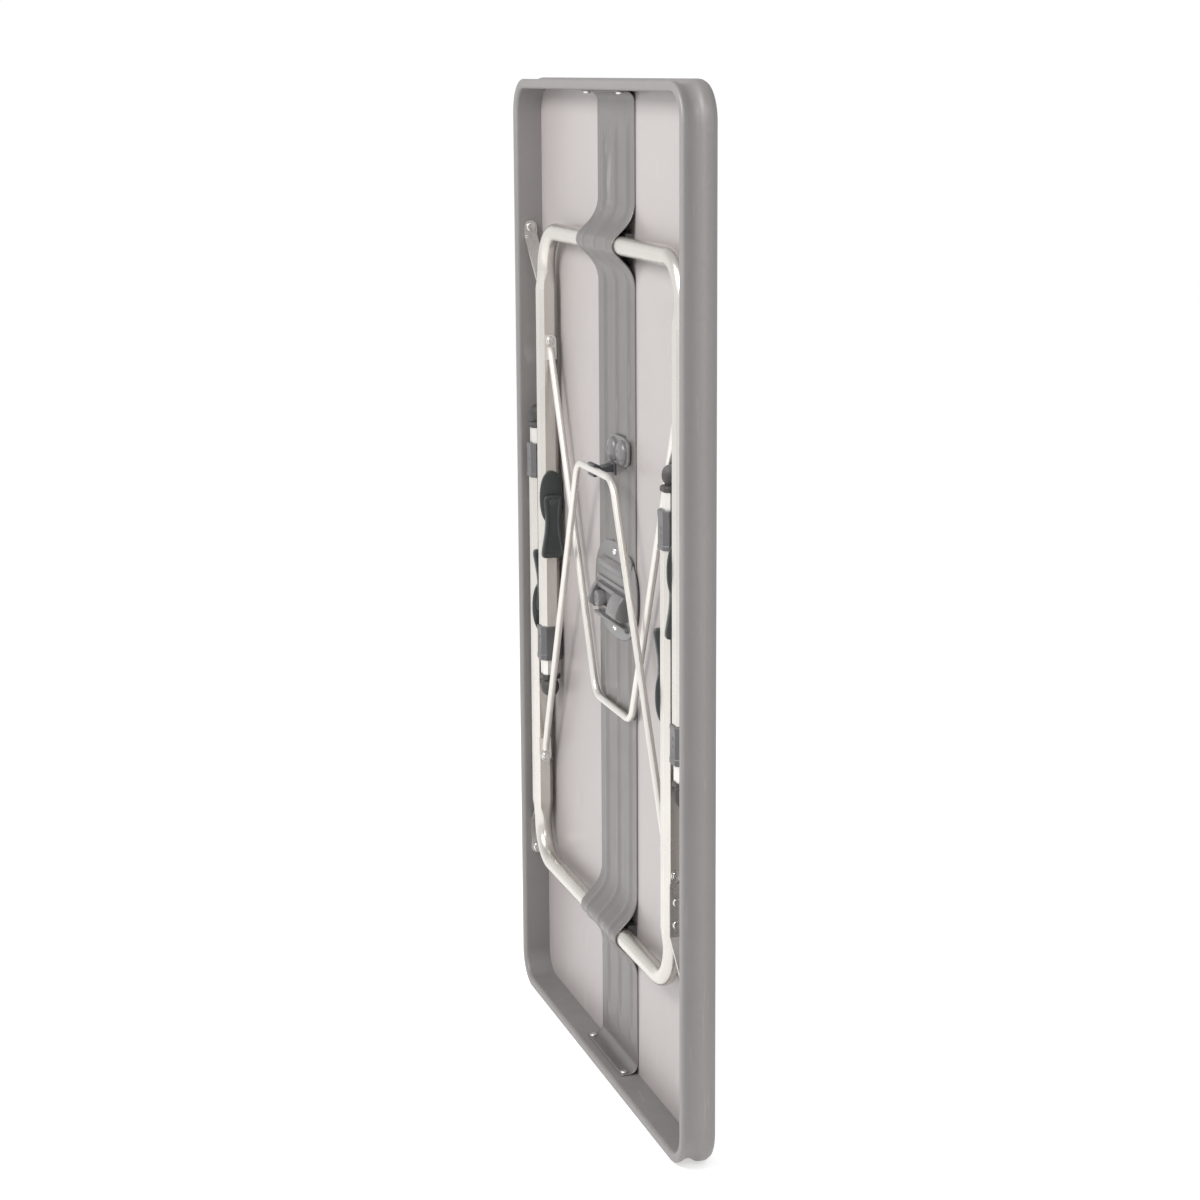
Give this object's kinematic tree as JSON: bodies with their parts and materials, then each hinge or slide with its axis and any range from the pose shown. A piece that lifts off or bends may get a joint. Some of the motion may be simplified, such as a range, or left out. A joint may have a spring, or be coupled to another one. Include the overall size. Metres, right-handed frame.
{
  "type": "folding camp table",
  "caption": "Low rectangular camp table with a rimmed top and two telescopic leg frames that fold flat into its underside.",
  "frame": {"origin": "centre of the short edge the folded table stands on", "axes": "+Z along the table's long axis, +X across its width, +Y from the open underside to the table's top face"},
  "size_m": [0.592, 0.037, 1.1],
  "materials": {
    "table_face": "pale laminate with a fine texture",
    "board_underside": "pale warm grey laminate",
    "board_core": "fibreboard",
    "rim_aluminium": "matt grey coated aluminium",
    "rib_metal": "matt grey coated sheet",
    "bright_fasteners": "bright zinc",
    "dark_bolts": "blackened",
    "saddle_plastic": "moulded",
    "bracket_plastic": "moulded grey, satin",
    "clip_plastic": "moulded grey, satin",
    "hook_plastic": "moulded dark grey",
    "leg_tube_metal": "satin silver coating",
    "inner_tube_metal": "satin silver coating",
    "stay_rod_metal": "satin silver coating",
    "strap_metal": "zinc plated",
    "collar_plastic": "moulded grey",
    "foot_rubber": "matt black",
    "lever_plastic": "moulded charcoal, satin"
  },
  "bodies": {
    "tabletop": {"tabletop_skin": "table_face", "tabletop_core": "board_core", "underside_skin": "board_underside", "rim": "rim_aluminium", "centre_rib": "rib_metal", "rib_screws": "bright_fasteners", "hinge_saddle_upper": "saddle_plastic", "hinge_saddle_lower": "saddle_plastic", "centre_bracket": "bracket_plastic", "bracket_screws": "bright_fasteners", "stow_clip_base": "clip_plastic", "stow_clip_hook": "hook_plastic", "pivot_screws": "bright_fasteners"},
    "upper_leg_frame": {"upper_leg_tube": "leg_tube_metal", "upper_strap_rivets": "bright_fasteners", "upper_stay_rivets": "bright_fasteners", "upper_strap_left": "strap_metal", "upper_strap_right": "strap_metal", "upper_collar_left": "collar_plastic", "upper_collar_right": "collar_plastic", "upper_clamp_base_left": "lever_plastic", "upper_clamp_base_right": "lever_plastic", "upper_clamp_bolt_left": "dark_bolts", "upper_clamp_bolt_right": "dark_bolts"},
    "upper_stay": {"upper_stay": "stay_rod_metal"},
    "upper_left_telescopic_leg": {"upper_inner_tube_left": "inner_tube_metal", "upper_foot_left": "foot_rubber"},
    "upper_left_lever": {"upper_lever_left": "lever_plastic"},
    "upper_right_telescopic_leg": {"upper_inner_tube_right": "inner_tube_metal", "upper_foot_right": "foot_rubber"},
    "upper_right_lever": {"upper_lever_right": "lever_plastic"},
    "lower_leg_frame": {"lower_leg_tube": "leg_tube_metal", "lower_strap_rivets": "bright_fasteners", "lower_stay_rivets": "bright_fasteners", "lower_strap_left": "strap_metal", "lower_strap_right": "strap_metal", "lower_collar_left": "collar_plastic", "lower_collar_right": "collar_plastic", "lower_clamp_base_left": "lever_plastic", "lower_clamp_base_right": "lever_plastic", "lower_clamp_bolt_left": "dark_bolts", "lower_clamp_bolt_right": "dark_bolts"},
    "lower_stay": {"lower_stay": "stay_rod_metal"},
    "lower_left_telescopic_leg": {"lower_inner_tube_left": "inner_tube_metal", "lower_foot_left": "foot_rubber"},
    "lower_left_lever": {"lower_lever_left": "lever_plastic"},
    "lower_right_telescopic_leg": {"lower_inner_tube_right": "inner_tube_metal", "lower_foot_right": "foot_rubber"},
    "lower_right_lever": {"lower_lever_right": "lever_plastic"}
  },
  "joints": [
    {"name": "lower_legs_fold", "type": "hinge", "parent": "tabletop", "child": "lower_leg_frame", "pos_m": [0, -0.002, 0.172], "axis": [1, 0, 0], "range_deg": [0, 90]},
    {"name": "upper_legs_fold", "type": "hinge", "parent": "tabletop", "child": "upper_leg_frame", "pos_m": [0, -0.002, 0.928], "axis": [-1, 0, 0], "range_deg": [0, 90.1]},
    {"name": "upper_stay_swing", "type": "hinge", "parent": "upper_leg_frame", "child": "upper_stay", "pos_m": [0, -0.002, 0.802], "axis": [1, 0, 0], "range_deg": [0, 109.16]},
    {"name": "lower_stay_swing", "type": "hinge", "parent": "lower_leg_frame", "child": "lower_stay", "pos_m": [0, -0.002, 0.298], "axis": [-1, 0, 0], "range_deg": [0, 110.12]},
    {"name": "upper_left_leg_extension", "type": "slide", "parent": "upper_leg_frame", "child": "upper_left_telescopic_leg", "axis": [0, 0, -1], "range_m": [0, 0.1301]},
    {"name": "upper_right_leg_extension", "type": "slide", "parent": "upper_leg_frame", "child": "upper_right_telescopic_leg", "axis": [0, 0, -1], "range_m": [0, 0.1301]},
    {"name": "lower_left_leg_extension", "type": "slide", "parent": "lower_leg_frame", "child": "lower_left_telescopic_leg", "axis": [0, 0, 1], "range_m": [0, 0.1301]},
    {"name": "lower_right_leg_extension", "type": "slide", "parent": "lower_leg_frame", "child": "lower_right_telescopic_leg", "axis": [0, 0, 1], "range_m": [0, 0.1301]},
    {"name": "upper_left_lever_turn", "type": "hinge", "parent": "upper_leg_frame", "child": "upper_left_lever", "pos_m": [0, -0.002, 0.614], "axis": [-1, 0, 0], "range_deg": [0, 90]},
    {"name": "upper_right_lever_turn", "type": "hinge", "parent": "upper_leg_frame", "child": "upper_right_lever", "pos_m": [0, -0.002, 0.614], "axis": [-1, 0, 0], "range_deg": [0, 90]},
    {"name": "lower_left_lever_turn", "type": "hinge", "parent": "lower_leg_frame", "child": "lower_left_lever", "pos_m": [0, -0.002, 0.486], "axis": [1, 0, 0], "range_deg": [0, 90]},
    {"name": "lower_right_lever_turn", "type": "hinge", "parent": "lower_leg_frame", "child": "lower_right_lever", "pos_m": [0, -0.002, 0.486], "axis": [1, 0, 0], "range_deg": [0, 90]}
  ],
  "couplings": [
    {"joint": "upper_legs_fold", "follows": "lower_legs_fold", "ratio": 1},
    {"joint": "upper_stay_swing", "follows": "lower_legs_fold", "ratio": 1.2106},
    {"joint": "lower_stay_swing", "follows": "lower_legs_fold", "ratio": 1.2213},
    {"joint": "upper_left_leg_extension", "follows": "lower_legs_fold", "m_per_rad": 0.082761},
    {"joint": "upper_right_leg_extension", "follows": "lower_legs_fold", "m_per_rad": 0.082761},
    {"joint": "lower_left_leg_extension", "follows": "lower_legs_fold", "m_per_rad": 0.082761},
    {"joint": "lower_right_leg_extension", "follows": "lower_legs_fold", "m_per_rad": 0.082761}
  ]
}
